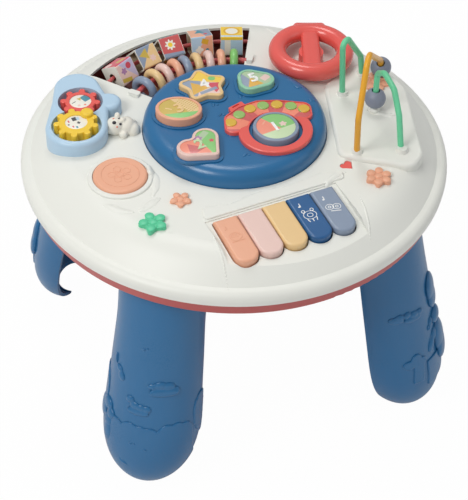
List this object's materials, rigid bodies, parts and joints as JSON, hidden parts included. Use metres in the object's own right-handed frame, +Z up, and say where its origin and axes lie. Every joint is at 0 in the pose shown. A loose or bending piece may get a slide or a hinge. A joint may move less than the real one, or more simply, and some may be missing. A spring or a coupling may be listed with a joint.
{
  "type": "baby activity table",
  "caption": "Round activity table for babies with number buttons, piano keys, drum, wheel, bead maze, dials, rings and picture blocks on lean-out legs",
  "frame": {"origin": "on the floor, under the middle of the table's bounding box", "axes": "+Z up, -Y toward the side with the piano keys where the child sits, +X to that child's right"},
  "size_m": [0.4002, 0.4002, 0.3834],
  "materials": {
    "cover": "satin",
    "tray": "satin",
    "panel": "satin",
    "coral": "glossy",
    "peach": "satin",
    "pink": "satin",
    "yellow": "satin",
    "blue": "satin",
    "slate": "satin",
    "green": "satin",
    "wire_green": "satin",
    "wire_yellow": "satin",
    "pale_blue": "satin",
    "drum": "satin",
    "cream": "satin",
    "lights": "glossy",
    "steel": "bright",
    "board": "matt",
    "rubber": "matt",
    "speaker": "matt",
    "cells": "satin",
    "grey": "matt",
    "tray_door": "satin"
  },
  "bodies": {
    "table": {"base_tray": "tray", "battery_cells": "cells", "battery_door": "tray_door", "bear_cub": "cream", "block_axle": "coral", "circuit_boards": "board", "contact_pads": "rubber", "cover_screws": "steel", "dome_panel": "panel", "flower_trims": "peach", "gear_housing": "pale_blue", "heart_light": "coral", "key_hinge_rod": "steel", "leg_front_left": "panel", "leg_front_right": "panel", "leg_rear_left": "panel", "leg_rear_right": "panel", "phone_frame": "coral", "phone_lights": "lights", "rear_bin": "tray", "ring_axle": "coral", "speaker": "speaker", "star_green": "green", "star_peach": "peach", "top_cover": "cover", "wire_left": "wire_green", "wire_middle": "wire_yellow", "wire_right": "wire_green"},
    "key_1_body": {"key_1": "peach"},
    "key_2_body": {"key_2": "pink"},
    "key_3_body": {"key_3": "yellow"},
    "key_4_body": {"key_4": "blue"},
    "key_5_body": {"key_5": "slate"},
    "button_one_body": {"button_one": "slate"},
    "button_two_body": {"button_two": "pink"},
    "button_three_body": {"button_three": "peach"},
    "button_four_body": {"button_four": "yellow"},
    "button_five_body": {"button_five": "green"},
    "drum_pad_body": {"drum_pad": "drum"},
    "steering_wheel_body": {"steering_wheel": "coral"},
    "gear_red_body": {"gear_red": "coral"},
    "gear_yellow_body": {"gear_yellow": "yellow"},
    "power_switch_body": {"power_switch": "grey"},
    "bead_upper_body": {"bead_upper": "slate"},
    "bead_lower_body": {"bead_lower": "slate"},
    "block_1_body": {"block_1": "cream"},
    "block_2_body": {"block_2": "cream"},
    "block_3_body": {"block_3": "cream"},
    "block_4_body": {"block_4": "cream"},
    "block_5_body": {"block_5": "cream"},
    "ring_1_body": {"ring_1": "slate"},
    "ring_2_body": {"ring_2": "yellow"},
    "ring_3_body": {"ring_3": "pink"},
    "ring_4_body": {"ring_4": "peach"},
    "ring_5_body": {"ring_5": "slate"},
    "ring_6_body": {"ring_6": "yellow"},
    "ring_7_body": {"ring_7": "pink"},
    "ring_8_body": {"ring_8": "peach"},
    "ring_9_body": {"ring_9": "green"}
  },
  "joints": [
    {"name": "key_1_hinge", "type": "hinge", "parent": "table", "child": "key_1_body", "pos_m": [-0.0614, -0.101, 0.2777], "axis": [1, 0, 0], "range_deg": [0, 4], "stiffness_Nm_per_rad": 0.05, "springref_deg": -8.59},
    {"name": "key_2_hinge", "type": "hinge", "parent": "table", "child": "key_2_body", "pos_m": [-0.0379, -0.101, 0.2777], "axis": [1, 0, 0], "range_deg": [0, 4], "stiffness_Nm_per_rad": 0.05, "springref_deg": -8.59},
    {"name": "key_3_hinge", "type": "hinge", "parent": "table", "child": "key_3_body", "pos_m": [-0.0144, -0.101, 0.2777], "axis": [1, 0, 0], "range_deg": [0, 4], "stiffness_Nm_per_rad": 0.05, "springref_deg": -8.59},
    {"name": "key_4_hinge", "type": "hinge", "parent": "table", "child": "key_4_body", "pos_m": [0.0091, -0.101, 0.2777], "axis": [1, 0, 0], "range_deg": [0, 4], "stiffness_Nm_per_rad": 0.05, "springref_deg": -8.59},
    {"name": "key_5_hinge", "type": "hinge", "parent": "table", "child": "key_5_body", "pos_m": [0.0326, -0.101, 0.2777], "axis": [1, 0, 0], "range_deg": [0, 4], "stiffness_Nm_per_rad": 0.05, "springref_deg": -8.59},
    {"name": "button_one_press", "type": "slide", "parent": "table", "child": "button_one_body", "axis": [0, 0, 1], "range_m": [-0.0025, 0], "stiffness_N_per_m": 300, "springref_m": 0.001},
    {"name": "button_two_press", "type": "slide", "parent": "table", "child": "button_two_body", "axis": [0, 0, 1], "range_m": [-0.0025, 0], "stiffness_N_per_m": 300, "springref_m": 0.001},
    {"name": "button_three_press", "type": "slide", "parent": "table", "child": "button_three_body", "axis": [0, 0, 1], "range_m": [-0.0025, 0], "stiffness_N_per_m": 300, "springref_m": 0.001},
    {"name": "button_four_press", "type": "slide", "parent": "table", "child": "button_four_body", "axis": [0, 0, 1], "range_m": [-0.0025, 0], "stiffness_N_per_m": 300, "springref_m": 0.001},
    {"name": "button_five_press", "type": "slide", "parent": "table", "child": "button_five_body", "axis": [0, 0, 1], "range_m": [-0.0025, 0], "stiffness_N_per_m": 300, "springref_m": 0.001},
    {"name": "drum_press", "type": "slide", "parent": "table", "child": "drum_pad_body", "axis": [0, 0, 1], "range_m": [-0.003, 0], "stiffness_N_per_m": 400, "springref_m": 0.001},
    {"name": "wheel_turn", "type": "hinge", "parent": "table", "child": "steering_wheel_body", "pos_m": [0.11, 0.06, 0.2995], "axis": [0, 0, 1], "range_deg": [-60, 60]},
    {"name": "block_1_spin", "type": "hinge", "parent": "table", "child": "block_1_body", "pos_m": [-0.06379, 0.12574, 0.282], "axis": [-0.8918, -0.4524, 0], "continuous": true},
    {"name": "block_2_spin", "type": "hinge", "parent": "table", "child": "block_2_body", "pos_m": [-0.03435, 0.13675, 0.282], "axis": [-0.9699, -0.2436, 0], "continuous": true},
    {"name": "block_3_spin", "type": "hinge", "parent": "table", "child": "block_3_body", "pos_m": [-0.0059, 0.14088, 0.282], "axis": [-0.9991, -0.0419, 0], "continuous": true},
    {"name": "block_4_spin", "type": "hinge", "parent": "table", "child": "block_4_body", "pos_m": [0.02666, 0.13846, 0.282], "axis": [-0.982, 0.1891, 0], "continuous": true},
    {"name": "block_5_spin", "type": "hinge", "parent": "table", "child": "block_5_body", "pos_m": [0.0569, 0.12901, 0.282], "axis": [-0.915, 0.4035, 0], "continuous": true},
    {"name": "ring_1_slide", "type": "hinge", "parent": "table", "child": "ring_1_body", "pos_m": [0, 0, 0.28], "axis": [0, 0, 1], "range_deg": [-1, 1]},
    {"name": "ring_2_slide", "type": "hinge", "parent": "table", "child": "ring_2_body", "pos_m": [0, 0, 0.28], "axis": [0, 0, 1], "range_deg": [-1, 1]},
    {"name": "ring_3_slide", "type": "hinge", "parent": "table", "child": "ring_3_body", "pos_m": [0, 0, 0.28], "axis": [0, 0, 1], "range_deg": [-1, 1]},
    {"name": "ring_4_slide", "type": "hinge", "parent": "table", "child": "ring_4_body", "pos_m": [0, 0, 0.28], "axis": [0, 0, 1], "range_deg": [-1, 1]},
    {"name": "ring_5_slide", "type": "hinge", "parent": "table", "child": "ring_5_body", "pos_m": [0, 0, 0.28], "axis": [0, 0, 1], "range_deg": [-1, 1]},
    {"name": "ring_6_slide", "type": "hinge", "parent": "table", "child": "ring_6_body", "pos_m": [0, 0, 0.28], "axis": [0, 0, 1], "range_deg": [-1, 1]},
    {"name": "ring_7_slide", "type": "hinge", "parent": "table", "child": "ring_7_body", "pos_m": [0, 0, 0.28], "axis": [0, 0, 1], "range_deg": [-1, 1]},
    {"name": "ring_8_slide", "type": "hinge", "parent": "table", "child": "ring_8_body", "pos_m": [0, 0, 0.28], "axis": [0, 0, 1], "range_deg": [-1, 1]},
    {"name": "ring_9_slide", "type": "hinge", "parent": "table", "child": "ring_9_body", "pos_m": [0, 0, 0.28], "axis": [0, 0, 1], "range_deg": [-1, 1]},
    {"name": "bead_upper_slide", "type": "slide", "parent": "table", "child": "bead_upper_body", "axis": [-0.3183, -0.3865, 0.8656], "range_m": [0, 0.007]},
    {"name": "bead_lower_slide", "type": "slide", "parent": "table", "child": "bead_lower_body", "axis": [0, 0, 1], "range_m": [0, 0.014]},
    {"name": "gear_yellow_turn", "type": "hinge", "parent": "table", "child": "gear_yellow_body", "pos_m": [-0.1381, 0.0472, 0.295], "axis": [0, 0, 1], "continuous": true},
    {"name": "gear_red_turn", "type": "hinge", "parent": "table", "child": "gear_red_body", "pos_m": [-0.1223, 0.0789, 0.295], "axis": [0, 0, 1], "continuous": true},
    {"name": "switch_slide", "type": "slide", "parent": "table", "child": "power_switch_body", "axis": [1, 0, 0], "range_m": [0, 0.004]}
  ],
  "couplings": [
    {"joint": "gear_red_turn", "follows": "gear_yellow_turn", "ratio": -1.125}
  ]
}
